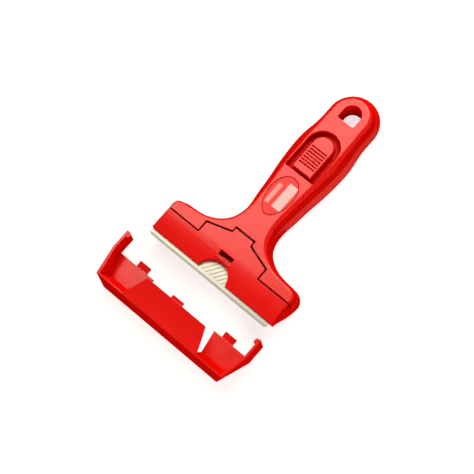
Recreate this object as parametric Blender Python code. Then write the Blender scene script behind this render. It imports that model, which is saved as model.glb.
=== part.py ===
"""A wide blade scraper with its blade guard taken off and lying in front of it.

X runs along the blade, +Y from the blade to the hang hole, and +Z up from the back of the
handle, on which the tool lies. Lengths are in metres.
"""
import math

import bmesh
import bpy
from mathutils import Vector

for old in list(bpy.data.objects):
    bpy.data.objects.remove(old, do_unlink=True)

# Blade, the standard 100 mm scraper blade that gives the tool its size
BLADE_WIDTH = 0.100
BLADE_DEPTH = 0.018
BLADE_THICKNESS = 0.0005
BLADE_BEVEL = 0.0016
BLADE_EDGE_LAND = 0.00008
BLADE_CORNER = 0.0012
BLADE_SIDE_PLAY = -0.0008
BLADE_LEVEL = 0.0129
BEVEL_RUN_OUT = 0.001

# Clearances
SEAT_GAP = 0.0003
RUNNING_GAP = 0.0004
CLAMP_GAP = 0.0011
TAB_GAP = 0.0014

# Handle body
BODY_HEIGHT = 0.018
PARTING_LEVEL = 0.009
BASE_LEVEL = 0.0045
WALL = 0.0022
TOP_FILLET = 0.0022
ORIGIN_TO_EDGE = 0.060
END_CENTRE = 0.1435
END_RADIUS = 0.0138
END_FLARE = 0.0062
END_SIDE_FLARE = 0.0045
PARTING_FLARE_SHARE = 0.50
BOTTOM_STEPS = ((0.0, 0.78), (0.0006, 0.89), (0.0018, 0.965))

# Right half of the body's top edge, from the end of the handle to the jaw's corner:
# half width, distance from the blade's edge, how far the wall flares out below, fillet share
HANDLE_STATIONS = (
    (0.0138, 0.1320, 0.0047, 1.0),
    (0.0143, 0.1180, 0.0062, 1.0),
    (0.0142, 0.1060, 0.0063, 1.0),
    (0.0136, 0.0930, 0.0058, 1.0),
    (0.0124, 0.0800, 0.0052, 1.0),
    (0.0115, 0.0680, 0.0049, 1.0),
    (0.0111, 0.0580, 0.0040, 1.0),
    (0.0118, 0.0500, 0.0036, 1.0),
    (0.0140, 0.0433, 0.0034, 1.0),
    (0.0178, 0.0382, 0.0033, 1.0),
    (0.0232, 0.0342, 0.0032, 0.9),
    (0.0300, 0.0314, 0.0031, 0.8),
    (0.0380, 0.0300, 0.0031, 0.7),
    (0.0455, 0.0292, 0.0033, 0.7),
    (0.0493, 0.0280, 0.0034, 0.6),
    (0.0509, 0.0252, 0.0036, 0.5),
    (0.0508, 0.0205, 0.0034, 0.4),
    (0.0508, 0.0120, 0.0022, 0.4),
    (0.0514, 0.0040, -0.0004, 0.4),
)
STATION_STEPS = 3
END_STEPS = 10

# Clamp plate that holds the blade
CLAMP_REAR = 0.0208
CLAMP_TAIL_HALF = 0.0256
CLAMP_TAIL_REAR = 0.0289
CLAMP_TAB_HALF = 0.0079
CLAMP_TAB_ROOT = 0.0343
CLAMP_TAB_REAR = 0.0381
CLAMP_TAB_CHAMFER = 0.0004
CLAMP_FRONT_DROP = 0.0026
CLAMP_SLOPE_START = 0.0240
CLAMP_SKIN = 0.0020
CLAMP_SIDE_WALL = 0.0026
CLAMP_REAR_WALL = 0.0015
CLAMP_SLOPE_STEPS = 10
CLAMP_LIP_DEPTH = 0.0042
NOTCH_HALF = 0.0114
NOTCH_DEPTH = 0.0100
NOTCH_WALL = 0.0020
WINDOW_WIDTH = 0.0106
WINDOW_DEPTH = 0.0034
WINDOW_CENTRE = 0.0190
CATCH_HALF = 0.0064
CATCH_Y = 0.0155
CATCH_HEIGHT = 0.0008
CATCH_DEPTH = 0.0012
CLAMP_TAIL_ROOF = 0.0146
CLAMP_POCKET_ROOF = 0.0149
CLAMP_POCKET_REAR = 0.0160
TAIL_PAD_FRONT = 0.0030
TAIL_PAD_REAR = 0.0008
TAIL_RELIEF = 0.0010

# Hinge of the clamp plate
PIN_RADIUS = 0.0010
PIN_BORE_GAP = 0.00015
PIN_LENGTH = 0.0400
PIN_Y = 0.0236
PIN_LEVEL = 0.0143
LUG_CENTRE = 0.0135
LUG_WIDTH = 0.0040
BOSS_WIDTH = 0.0036
LUG_RADIUS = 0.0022
BOSS_FOOT = 0.0050

# Lower jaw
JAW_UNDERSIDE_FRONT = 0.0094
JAW_UNDERSIDE_STEP = 0.0024
JAW_STEP_Y = 0.0250
BAR_CHANNEL_FRONT = 0.0232
BAR_CHANNEL_FLOOR = 0.0060
BAR_SUPPORT_PLACES = (0.0420, 0.0660, 0.1010)

# Lock button and its recess
RECESS_HALF = 0.0121
RECESS_FRONT = 0.0911
RECESS_CENTRE = 0.1149
RECESS_CORNER = 0.0012
RECESS_FLOOR_LEVEL = 0.0126
RECESS_FLOOR = 0.0014
BUTTON_HALF = 0.0075
BUTTON_FRONT = 0.0935
BUTTON_PROUD = 0.0002
BUTTON_EDGE = 0.0004
GROOVE_COUNT = 7
GROOVE_PITCH = 0.0022
GROOVE_WIDTH = 0.0013
GROOVE_DEPTH = 0.0011
GROOVE_HALF = 0.0063
GROOVE_FIRST = 0.0988
LOCK_TRAVEL = 0.0035
STEM_WIDTH = 0.0060
STEM_LENGTH = 0.0100
STEM_PEG_RADIUS = 0.0015

# Lock bar
BAR_HALF = 0.0050
BAR_BOTTOM = 0.0080
BAR_TOP = 0.0108
BAR_REAR = 0.1130
BAR_NOSE_FLAT = 0.0312
BAR_NOSE_TIP = 0.0242
BAR_NOSE_DROP = 0.0022
BAR_SHOULDER_RAMP = 0.0020
BAR_GUIDE_WALL = 0.0014
BAR_SUPPORT_WIDTH = 0.0020
DETENT_DEPTH = 0.0006
DETENT_LENGTH = 0.0030

# Detent spring beside the bar, and the coil on the hinge pin that lifts the clamp plate
SPRING_THICKNESS = 0.0004
DETENT_SPRING_Y = 0.0760
DETENT_SPRING_LENGTH = 0.0200
DETENT_SPRING_HEIGHT = 0.0024
DETENT_SPRING_STANDOFF = 0.0022
DETENT_SPRING_END = 0.0030
SPRING_POST = 0.0020
COIL_WIRE = 0.0003
COIL_RADIUS = 0.0017
COIL_TURNS = 4
COIL_START = 0.0060
COIL_PITCH = 0.0009
COIL_STEPS = 14
COIL_LEG = 0.0050
COIL_FOOT_REACH = 0.0034
COIL_FOOT_BEND = 0.0003

# Hang hole
HOLE_HALF = 0.0067
HOLE_FRONT = 0.1378
HOLE_CENTRE = 0.1449
HOLE_CORNER = 0.0015
CAVITY_REAR = 0.1345

# Oval recess and its blank label
OVAL_CENTRE = 0.0720
OVAL_HALF_LENGTH = 0.0155
OVAL_HALF_WIDTH = 0.0094
OVAL_EGG = 0.12
OVAL_DEPTH = 0.0006
LABEL_THICKNESS = 0.0002
LABEL_MARGIN = 0.0007

# Locating pegs between the two halves of the handle
PEG_RADIUS = 0.0014
PEG_BOSS_WALL = 0.0014
PEG_DEPTH = 0.0045
PEG_PLACES = ((0.0092, 0.0510), (-0.0092, 0.0510), (0.0100, 0.1300), (-0.0100, 0.1300))

# Blade guard, drawn where it sits on the jaw, then placed where it lies
GUARD_TRAVEL = 0.0394
GUARD_SIDE_STEP = -0.0040
GUARD_WALL = 0.0016
GUARD_HEIGHT = 0.0173
GUARD_FRONT = -0.0056
GUARD_NOSE_LEAN = 0.0024
GUARD_NOSE_STEP = 0.0018
GUARD_NOSE_DRAFT = 0.0045
GUARD_RIDGE = 0.0012
GUARD_SLOPE_FOOT = 0.0030
GUARD_CORE_TOP = 0.0112
GUARD_FLOOR_REAR = 0.0188
GUARD_FLOOR_INNER_FRONT = 0.0294
GUARD_FLOOR_INNER_REAR = 0.0264
GUARD_FLAP_THICKNESS = 0.0014
GUARD_FLAP_LEVELS = (0.0159, 0.01675, 0.0188)
GUARD_FLAP_BEND = 0.0064
GUARD_FLAP_REAR = 0.0152
GUARD_FLAP_FRONT_HALF = 0.0321
GUARD_FLAP_REAR_HALF = 0.0249
GUARD_END_WALL = 0.0018
GUARD_ARM_GAP = 0.0013
GUARD_ARM_LENGTH = 0.0311
GUARD_BEND = 0.0172
HOOK_REACH = 0.0020
HOOK_LENGTH = 0.0038
HOOK_BOTTOM = 0.0158
GUARD_TAB_HALF = 0.0046
GUARD_TAB_LENGTH = 0.0045
GUARD_TAB_RISE = 0.0005
GUARD_SIDE_TAB = 0.0373
GUARD_CENTRE_TAB = 0.0048
GUARD_CENTRE_TAB_LENGTH = 0.0024

# Reaches of the shapes that cut, steps of the round shapes, and the angle above which an edge is sharp
FAR = 0.300
SIDE_MARGIN = 0.022
FRONT_REACH = 0.030
MERGE_DISTANCE = 1e-6
ROUND_SIDES = 24
PEG_SIDES = 16
HALF_ROUND_STEPS = 16
CORNER_STEPS = 3
FILLET_STEPS = 4
OVAL_POINTS = 36
NOTCH_ANGLE_STEP = 10
SHARP_ANGLE = 32

# Colours
RED = (0.80, 0.012, 0.008)
BLADE_GREY = (0.78, 0.76, 0.70)
SPRING_GREY = (0.45, 0.45, 0.47)
BAR_WHITE = (0.62, 0.60, 0.55)
LABEL_PINK = (0.90, 0.72, 0.68)

PARTS = bpy.data.collections.new("blade_scraper")
CUTTERS = bpy.data.collections.new("cutters")
bpy.context.scene.collection.children.link(PARTS)
bpy.context.scene.collection.children.link(CUTTERS)


def make_material(name, colour, roughness, metallic):
    """A Principled BSDF material."""
    material = bpy.data.materials.new(name)
    material.use_nodes = True
    shader = material.node_tree.nodes["Principled BSDF"]
    shader.inputs["Base Color"].default_value = (*colour, 1.0)
    shader.inputs["Roughness"].default_value = roughness
    shader.inputs["Metallic"].default_value = metallic
    return material


def make_empty(name, location, parent=None):
    """An empty that places pieces, on a joint's axis where they move."""
    empty = bpy.data.objects.new(name, None)
    PARTS.objects.link(empty)
    empty.parent = parent
    empty.location = location
    return empty


TOOL = make_empty("scraper_place", (0.0, -ORIGIN_TO_EDGE, 0.0))


ORIGINS = {}


def add_part(name, mesh, material, parent=TOOL, origin=(0.0, 0.0, 0.0), parent_drawn_at=(0.0, 0.0, 0.0)):
    """A piece drawn in the tool's frame, with its own origin and the place where its parent stands."""
    offset = Vector(origin)
    ORIGINS[name] = offset
    for vertex in mesh.vertices:
        vertex.co -= offset
    part = bpy.data.objects.new(name, mesh)
    PARTS.objects.link(part)
    part.parent = parent
    part.location = offset - Vector(parent_drawn_at)
    mesh.materials.append(material)
    mesh.shade_smooth()
    mesh.set_sharp_from_angle(angle=math.radians(SHARP_ANGLE))
    return part


def add_cutter(name, mesh, target):
    """A shape for a Boolean, placed in its target's frame."""
    cutter = bpy.data.objects.new(name, mesh)
    CUTTERS.objects.link(cutter)
    cutter.parent = target.parent
    cutter.location = target.location
    for vertex in mesh.vertices:
        vertex.co -= ORIGINS[target.name]
    cutter.hide_render = True
    cutter.display_type = "WIRE"
    return cutter


def combine(part, mesh, operation, name):
    """Cuts, joins or intersects a part with a mesh drawn in the tool's frame."""
    modifier = part.modifiers.new(name, "BOOLEAN")
    modifier.operation = operation
    modifier.solver = "EXACT"
    modifier.object = add_cutter(part.name + "_" + name, mesh, part)


def cut(part, mesh, name):
    combine(part, mesh, "DIFFERENCE", name)


def join(part, mesh, name):
    combine(part, mesh, "UNION", name)


def keep(part, mesh, name):
    combine(part, mesh, "INTERSECT", name)


def mesh_from(bm, name):
    """A mesh from bmesh geometry with its faces pointing out."""
    bmesh.ops.recalc_face_normals(bm, faces=bm.faces)
    if bm.calc_volume(signed=True) < 0.0:
        bmesh.ops.reverse_faces(bm, faces=bm.faces)
    mesh = bpy.data.meshes.new(name)
    bm.to_mesh(mesh)
    bm.free()
    return mesh


def box(name, low, high):
    """A box between two corners."""
    bm = bmesh.new()
    bmesh.ops.create_cube(bm, size=1.0)
    low = Vector(low)
    high = Vector(high)
    for vertex in bm.verts:
        vertex.co = Vector(low[i] + (high[i] - low[i]) * (vertex.co[i] + 0.5) for i in range(3))
    return mesh_from(bm, name)


def cylinder(name, radius, start, end, sides=ROUND_SIDES):
    """A round bar between two points on one axis."""
    start = Vector(start)
    end = Vector(end)
    bm = bmesh.new()
    bmesh.ops.create_cone(
        bm, cap_ends=True, segments=sides, radius1=radius, radius2=radius, depth=(end - start).length
    )
    turn = Vector((0.0, 0.0, 1.0)).rotation_difference(end - start).to_matrix()
    for vertex in bm.verts:
        vertex.co = turn @ vertex.co + (start + end) / 2
    return mesh_from(bm, name)


def loft(name, rings):
    """A closed solid through rings with equal numbers of points."""
    bm = bmesh.new()
    loops = [[bm.verts.new(point) for point in ring] for ring in rings]
    for lower, upper in zip(loops, loops[1:]):
        for i in range(len(lower)):
            j = (i + 1) % len(lower)
            bm.faces.new((lower[i], lower[j], upper[j], upper[i]))
    bm.faces.new(loops[0])
    bm.faces.new(loops[-1])
    return mesh_from(bm, name)


def plate(name, outline, low, high):
    """A flat outline in X and Y with a thickness, from a filled 2D curve."""
    curve = bpy.data.curves.new(name, "CURVE")
    curve.dimensions = "2D"
    curve.fill_mode = "BOTH"
    curve.extrude = (high - low) / 2
    spline = curve.splines.new("POLY")
    spline.points.add(len(outline) - 1)
    for point, (x, y) in zip(spline.points, outline):
        point.co = (x, y, 0.0, 1.0)
    spline.use_cyclic_u = True
    drawn = bpy.data.objects.new(name, curve)
    CUTTERS.objects.link(drawn)
    depsgraph = bpy.context.evaluated_depsgraph_get()
    mesh = bpy.data.meshes.new_from_object(drawn.evaluated_get(depsgraph))
    bpy.data.objects.remove(drawn, do_unlink=True)
    bm = bmesh.new()
    bm.from_mesh(mesh)
    bmesh.ops.remove_doubles(bm, verts=bm.verts, dist=MERGE_DISTANCE)
    for vertex in bm.verts:
        vertex.co.z += (low + high) / 2
    bpy.data.meshes.remove(mesh)
    return mesh_from(bm, name)


def side_plate(name, outline, left, right):
    """A flat outline in Y and Z with a thickness along X."""
    mesh = plate(name, outline, left, right)
    for vertex in mesh.vertices:
        y, z, x = vertex.co
        vertex.co = (x, y, z)
    return mesh


def arc(centre, radius, start, end, steps):
    """Points on an arc in degrees, both ends included."""
    points = []
    for i in range(steps + 1):
        angle = math.radians(start + (end - start) * i / steps)
        points.append((centre[0] + radius * math.cos(angle), centre[1] + radius * math.sin(angle)))
    return points


def spline_points(stations, steps):
    """A smooth Catmull-Rom line through stations of several values."""
    line = []
    last = len(stations) - 1
    for i in range(last):
        before = stations[max(i - 1, 0)]
        here = stations[i]
        there = stations[i + 1]
        after = stations[min(i + 2, last)]
        for step in range(steps):
            t = step / steps
            point = []
            for a, b, c, d in zip(before, here, there, after):
                bend = (2 * a - 5 * b + 4 * c - d) * t ** 2 + (3 * b - a - 3 * c + d) * t ** 3
                point.append((2 * b + (c - a) * t + bend) / 2)
            line.append(tuple(point))
    line.append(stations[last])
    return line


def body_line():
    """Right half of the body's top edge with its flare and fillet share."""
    half = []
    for i in range(END_STEPS):
        angle = math.radians(90 - 90 * i / END_STEPS)
        share = math.sin(angle)
        half.append(
            (
                END_RADIUS * math.cos(angle),
                END_CENTRE + END_RADIUS * share,
                END_SIDE_FLARE + (END_FLARE - END_SIDE_FLARE) * share,
                1.0,
            )
        )
    half += spline_points(((END_RADIUS, END_CENTRE, END_SIDE_FLARE, 1.0), *HANDLE_STATIONS), STATION_STEPS)
    return half


def full_line():
    """The whole closed edge: the right half and its mirror image."""
    half = body_line()
    left = [(-x, y, flare, fillet) for x, y, flare, fillet in reversed(half) if x > MERGE_DISTANCE]
    return half + left


BODY = full_line()


def outward_normals(line):
    """Unit normals of the closed edge, pointing out."""
    normals = []
    count = len(line)
    for i in range(count):
        ahead = line[(i + 1) % count]
        behind = line[i - 1]
        here = line[i]
        first = Vector((here[0] - behind[0], here[1] - behind[1])).normalized()
        second = Vector((ahead[0] - here[0], ahead[1] - here[1])).normalized()
        along = (first + second).normalized()
        normals.append(Vector((-along.y, along.x)))
    return normals


NORMALS = outward_normals(BODY)


def flare_share(level):
    """How much of the flare the wall has at a height."""
    if level >= PARTING_LEVEL:
        return PARTING_FLARE_SHARE * (BODY_HEIGHT - level) / (BODY_HEIGHT - PARTING_LEVEL)
    if level >= BASE_LEVEL:
        below = (PARTING_LEVEL - level) / (PARTING_LEVEL - BASE_LEVEL)
        return PARTING_FLARE_SHARE + (1 - PARTING_FLARE_SHARE) * below
    steps = (*BOTTOM_STEPS, (BASE_LEVEL, 1.0))
    for (low, low_share), (high, high_share) in zip(steps, steps[1:]):
        if level <= high:
            return low_share + (high_share - low_share) * (level - low) / (high - low)
    return 1.0


def body_ring(level, inset=0.0, fillet=0.0, front=-FAR, rear=FAR):
    """The body's outline at a height, or its stretch between two places along the handle."""
    ring = []
    for (x, y, flare, share), normal in zip(BODY, NORMALS):
        if front <= y <= rear:
            out = flare * flare_share(level) - inset - fillet * share
            ring.append((x + normal.x * out, y + normal.y * out, level))
    return ring


def top_rings(radius):
    """Rings of the rounded top edge."""
    rings = []
    for i in range(FILLET_STEPS + 1):
        angle = math.radians(90 * i / FILLET_STEPS)
        level = BODY_HEIGHT - radius * (1 - math.sin(angle))
        rings.append(body_ring(level, fillet=radius * (1 - math.cos(angle))))
    return rings


def widest_half():
    """Half width of the head where it is widest, with its sides' flare."""
    return max(half + flare for half, _, flare, _ in HANDLE_STATIONS)


def side_reach():
    """How far the shapes that cut across the tool reach: the widest part of the head and a margin."""
    return widest_half() + SIDE_MARGIN


def clamp_outline(gap, front):
    """The clamp plate's edge, grown by a gap, with its front line at a distance from the blade's edge."""
    tab_gap = gap * TAB_GAP / CLAMP_GAP
    half = [
        (side_reach(), front),
        (side_reach(), CLAMP_REAR + gap),
        (CLAMP_TAIL_HALF + gap, CLAMP_REAR + gap),
        (CLAMP_TAIL_HALF + gap, CLAMP_TAIL_REAR + gap),
        (CLAMP_TAB_HALF + gap + CLAMP_TAB_CHAMFER, CLAMP_TAB_ROOT + gap),
        (CLAMP_TAB_HALF + gap, CLAMP_TAB_ROOT + gap + CLAMP_TAB_CHAMFER),
        (CLAMP_TAB_HALF + gap, CLAMP_TAB_REAR + tab_gap),
    ]
    return half + [(-x, y) for x, y in reversed(half)]


def recess_outline(half, front, centre, corner):
    """A thumb recess or button: square in front, round behind."""
    points = arc((0.0, centre), half, 0, 180, HALF_ROUND_STEPS)
    points += arc((-half + corner, front + corner), corner, 180, 270, CORNER_STEPS)
    points += arc((half - corner, front + corner), corner, 270, 360, CORNER_STEPS)
    return points


def oval_outline(margin):
    """The egg-shaped label recess."""
    points = []
    for i in range(OVAL_POINTS):
        angle = 2 * math.pi * i / OVAL_POINTS
        along = math.sin(angle)
        wide = (OVAL_HALF_WIDTH - margin) * math.cos(angle) * (1 + OVAL_EGG * along)
        points.append((wide, OVAL_CENTRE + (OVAL_HALF_LENGTH - margin) * along))
    return points


def bar_nose_top():
    """Height of the lock bar's nose under the clamp plate's tail pad."""
    return PIN_LEVEL - PIN_RADIUS - SEAT_GAP


def add_handle_lower_shell(material):
    """Back half of the handle with the fixed lower jaw, pin bosses, bar guides and peg sockets."""
    jaw_top = BLADE_LEVEL - SEAT_GAP
    levels = [level for level, _ in BOTTOM_STEPS] + [BASE_LEVEL, PARTING_LEVEL - SEAT_GAP / 2, jaw_top]
    shell = add_part("handle_lower_shell", loft("lower", [body_ring(level) for level in levels]), material)
    parting = PARTING_LEVEL - SEAT_GAP / 2
    cut(shell, box("above_parting", (-FAR, CLAMP_REAR - SEAT_GAP, parting), (FAR, FAR, FAR)), "parting")
    cavity = [
        body_ring(level, inset=WALL, front=JAW_STEP_Y + 2 * WALL, rear=CAVITY_REAR)
        for level in (WALL, BASE_LEVEL, PARTING_LEVEL + WALL)
    ]
    cut(shell, loft("lower_cavity", cavity), "cavity")
    underside = [
        (-FRONT_REACH, -FRONT_REACH),
        (JAW_STEP_Y, -FRONT_REACH),
        (JAW_STEP_Y, JAW_UNDERSIDE_STEP),
        (CLAMP_REAR, JAW_UNDERSIDE_STEP),
        (0.0, JAW_UNDERSIDE_FRONT),
        (-FRONT_REACH, JAW_UNDERSIDE_FRONT),
    ]
    cut(shell, side_plate("jaw_underside", underside, -side_reach(), side_reach()), "underside")
    cut(shell, plate("hang_hole", hole_outline(), -FAR, FAR), "hang_hole")
    channel = BAR_HALF + RUNNING_GAP
    channel_low = (-channel, BAR_CHANNEL_FRONT, BAR_CHANNEL_FLOOR)
    cut(shell, box("bar_channel", channel_low, (channel, BAR_SUPPORT_PLACES[0], FAR)), "bar_channel")
    for side in (-1, 1):
        inner = LUG_CENTRE + LUG_WIDTH / 2 + RUNNING_GAP
        outer = inner + BOSS_WIDTH
        low, high = sorted((side * inner, side * outer))
        foot = (low, PIN_Y - LUG_RADIUS, BOSS_FOOT)
        join(shell, box("boss_foot", foot, (high, PIN_Y + LUG_RADIUS, PIN_LEVEL)), f"boss_foot_{side}")
        boss = cylinder("boss", LUG_RADIUS, (low, PIN_Y, PIN_LEVEL), (high, PIN_Y, PIN_LEVEL))
        join(shell, boss, f"boss_{side}")
    bore = PIN_RADIUS + PIN_BORE_GAP
    reach = PIN_LENGTH / 2 + SEAT_GAP
    pin_room = cylinder("pin_bore", bore, (-reach, PIN_Y, PIN_LEVEL), (reach, PIN_Y, PIN_LEVEL))
    cut(shell, pin_room, "pin_bore")
    for i, y in enumerate(BAR_SUPPORT_PLACES):
        low = (-BAR_HALF - RUNNING_GAP - BAR_GUIDE_WALL, y, WALL / 2)
        high = (BAR_HALF + RUNNING_GAP + BAR_GUIDE_WALL, y + BAR_SUPPORT_WIDTH, BAR_BOTTOM - SEAT_GAP)
        join(shell, box("bar_support", low, high), f"bar_support_{i}")
        for side in (-1, 1):
            inner = BAR_HALF + RUNNING_GAP
            left, right = sorted((side * inner, side * (inner + BAR_GUIDE_WALL)))
            far = (right, y + BAR_SUPPORT_WIDTH, BAR_TOP - SEAT_GAP)
            join(shell, box("bar_guide", (left, y, WALL / 2), far), f"bar_guide_{i}_{side}")
    for i, (x, y) in enumerate(PEG_PLACES):
        bore = PEG_RADIUS + RUNNING_GAP
        top = (x, y, parting - SEAT_GAP)
        boss = cylinder("peg_boss", bore + PEG_BOSS_WALL, (x, y, WALL / 2), top, PEG_SIDES)
        join(shell, boss, f"peg_boss_{i}")
        foot = (x, y, parting - PEG_DEPTH - SEAT_GAP)
        cut(shell, cylinder("peg_socket", bore, foot, (x, y, FAR), PEG_SIDES), f"peg_socket_{i}")
    add_spring_posts(shell)
    return shell


def add_spring_posts(shell):
    """Slotted posts that carry the ends of the detent spring, and the lift spring's seat."""
    x = detent_spring_x()
    for i, y in enumerate((DETENT_SPRING_Y, DETENT_SPRING_Y + DETENT_SPRING_LENGTH - SPRING_POST)):
        post = box(
            "spring_post",
            (x - SPRING_POST / 2 - SPRING_THICKNESS, y, WALL / 2),
            (x + SPRING_POST / 2 + SPRING_THICKNESS, y + SPRING_POST, BAR_TOP - SEAT_GAP),
        )
        join(shell, post, f"spring_post_{i}")
        slot = box(
            "spring_slot",
            (x - SPRING_THICKNESS / 2 - SEAT_GAP / 2, y - SPRING_POST, BAR_BOTTOM - SEAT_GAP),
            (x + SPRING_THICKNESS / 2 + SEAT_GAP / 2, y + 2 * SPRING_POST, FAR),
        )
        cut(shell, slot, f"spring_slot_{i}")


def detent_spring_x():
    """Where the detent spring's straight ends stand beside the bar."""
    return BAR_HALF + DETENT_SPRING_STANDOFF


def hole_outline():
    """The D-shaped hang hole."""
    return recess_outline(HOLE_HALF, HOLE_FRONT, HOLE_CENTRE, HOLE_CORNER)


def add_handle_upper_shell(material):
    """Face half of the handle with the thumb recess, label recess and locating pegs."""
    parting = PARTING_LEVEL + SEAT_GAP / 2
    rings = [body_ring(parting)] + top_rings(TOP_FILLET)
    shell = add_part("handle_upper_shell", loft("upper", rings), material)
    cavity = [
        body_ring(level, inset=WALL, front=CLAMP_REAR, rear=CAVITY_REAR)
        for level in (PARTING_LEVEL - WALL, BODY_HEIGHT - WALL)
    ]
    cut(shell, loft("upper_cavity", cavity), "cavity")
    floor_low = RECESS_FLOOR_LEVEL - RECESS_FLOOR
    pocket = recess_outline(RECESS_HALF + WALL / 2, RECESS_FRONT - WALL / 2, RECESS_CENTRE, RECESS_CORNER)
    pocket_mesh = plate("recess_wall", pocket, floor_low, BODY_HEIGHT - WALL / 2)
    join(shell, pocket_mesh, "recess_wall")
    recess = recess_outline(RECESS_HALF, RECESS_FRONT, RECESS_CENTRE, RECESS_CORNER)
    cut(shell, plate("recess", recess, RECESS_FLOOR_LEVEL, FAR), "recess")
    stem_gap = RUNNING_GAP
    slot = box(
        "stem_slot",
        (-STEM_WIDTH / 2 - stem_gap, stem_y() - STEM_LENGTH / 2 - stem_gap, 0.0),
        (STEM_WIDTH / 2 + stem_gap, stem_y() + STEM_LENGTH / 2 + LOCK_TRAVEL + stem_gap, FAR),
    )
    cut(shell, slot, "stem_slot")
    opening = clamp_outline(CLAMP_GAP / 2, -FAR)
    cut(shell, plate("clamp_opening", opening, -FAR, FAR), "clamp_opening")
    cut(shell, plate("hang_hole", hole_outline(), -FAR, FAR), "hang_hole")
    cut(shell, plate("label_recess", oval_outline(0.0), BODY_HEIGHT - OVAL_DEPTH, FAR), "label_recess")
    for i, (x, y) in enumerate(PEG_PLACES):
        foot = (x, y, parting - PEG_DEPTH)
        top = (x, y, BODY_HEIGHT - WALL / 2)
        join(shell, cylinder("peg", PEG_RADIUS, foot, top, PEG_SIDES), f"peg_{i}")
    return shell


def stem_y():
    """Middle of the button's stem along the handle."""
    return (BUTTON_FRONT + RECESS_CENTRE) / 2


def add_label(material):
    """A blank label in the oval recess."""
    low = BODY_HEIGHT - OVAL_DEPTH + SEAT_GAP
    film = plate("label", oval_outline(LABEL_MARGIN), low, low + LABEL_THICKNESS)
    return add_part("handle_label", film, material)


def clamp_top(y):
    """Height of the clamp plate's top at a distance from the blade's edge."""
    drop = max(CLAMP_SLOPE_START - y, 0.0) / (CLAMP_SLOPE_START - HANDLE_STATIONS[-1][1])
    return BODY_HEIGHT - CLAMP_FRONT_DROP * drop * drop


def add_clamp_plate(material, parent):
    """The hinged upper jaw: a skin with a pressing lip, a thumb notch and a tail over the lock bar."""
    lip = BLADE_LEVEL + BLADE_THICKNESS + SEAT_GAP
    rings = [body_ring(lip)] + top_rings(TOP_FILLET / 2)
    plate_part = add_part("clamp_plate", loft("clamp", rings), material, parent, pin_centre(), pin_centre())
    keep(plate_part, plate("clamp_edge", clamp_outline(-CLAMP_GAP / 2, -side_reach()), 0.0, FAR), "edge")
    slope = [(CLAMP_SLOPE_START, FAR)]
    for i in range(CLAMP_SLOPE_STEPS + 1):
        y = CLAMP_SLOPE_START * (1 - i / CLAMP_SLOPE_STEPS)
        slope.append((y, clamp_top(y)))
    slope.append((-FRONT_REACH, clamp_top(0.0)))
    slope.append((-FRONT_REACH, FAR))
    cut(plate_part, side_plate("clamp_slope", slope, -side_reach(), side_reach()), "slope")
    add_clamp_hollows(plate_part)
    front = HANDLE_STATIONS[-1][1]
    notch = [
        (NOTCH_HALF * math.cos(math.radians(a)), front + NOTCH_DEPTH * math.sin(math.radians(a)))
        for a in range(0, 181, NOTCH_ANGLE_STEP)
    ]
    notch = [(NOTCH_HALF, -FRONT_REACH)] + notch + [(-NOTCH_HALF, -FRONT_REACH)]
    cut(plate_part, plate("thumb_notch", notch, 0.0, FAR), "thumb_notch")
    window = box(
        "window",
        (-WINDOW_WIDTH / 2, WINDOW_CENTRE - WINDOW_DEPTH / 2, lip),
        (WINDOW_WIDTH / 2, WINDOW_CENTRE + WINDOW_DEPTH / 2, FAR),
    )
    cut(plate_part, window, "window")
    catch = box(
        "catch",
        (-CATCH_HALF, CATCH_Y - CATCH_DEPTH / 2, BODY_HEIGHT - CLAMP_FRONT_DROP),
        (CATCH_HALF, CATCH_Y + CATCH_DEPTH / 2, clamp_top(CATCH_Y) + CATCH_HEIGHT),
    )
    join(plate_part, catch, "catch")
    add_clamp_underside(plate_part)
    return plate_part


def add_clamp_hollows(part):
    """Pockets under the plate that leave its skin, its pressing lip, the notch's wall and its rear edge."""
    front = HANDLE_STATIONS[-1][1] + CLAMP_LIP_DEPTH
    side = HANDLE_STATIONS[-1][0] - CLAMP_SIDE_WALL
    rear = CLAMP_REAR - CLAMP_GAP / 2 - CLAMP_REAR_WALL
    tail = CLAMP_TAIL_HALF - CLAMP_SKIN
    tail_rear = CLAMP_TAIL_REAR - CLAMP_SKIN
    half = [(side, CLAMP_POCKET_REAR), (side, rear), (tail, rear), (tail, tail_rear)]
    hollow = half + [(-x, y) for x, y in reversed(half)]
    cut(part, plate("rear_hollow", hollow, 0.0, BODY_HEIGHT - CLAMP_SKIN), "rear_hollow")
    for i, (left, right) in enumerate(((-side, -NOTCH_HALF - NOTCH_WALL), (NOTCH_HALF + NOTCH_WALL, side))):
        pocket = box("pocket", (left, front, 0.0), (right, CLAMP_POCKET_REAR + SEAT_GAP, CLAMP_POCKET_ROOF))
        cut(part, pocket, f"pocket_{i}")
    relief = box("tail_relief", (-FAR, BAR_NOSE_FLAT + TAIL_RELIEF, 0.0), (FAR, FAR, CLAMP_TAIL_ROOF))
    cut(part, relief, "tail_relief")


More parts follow.
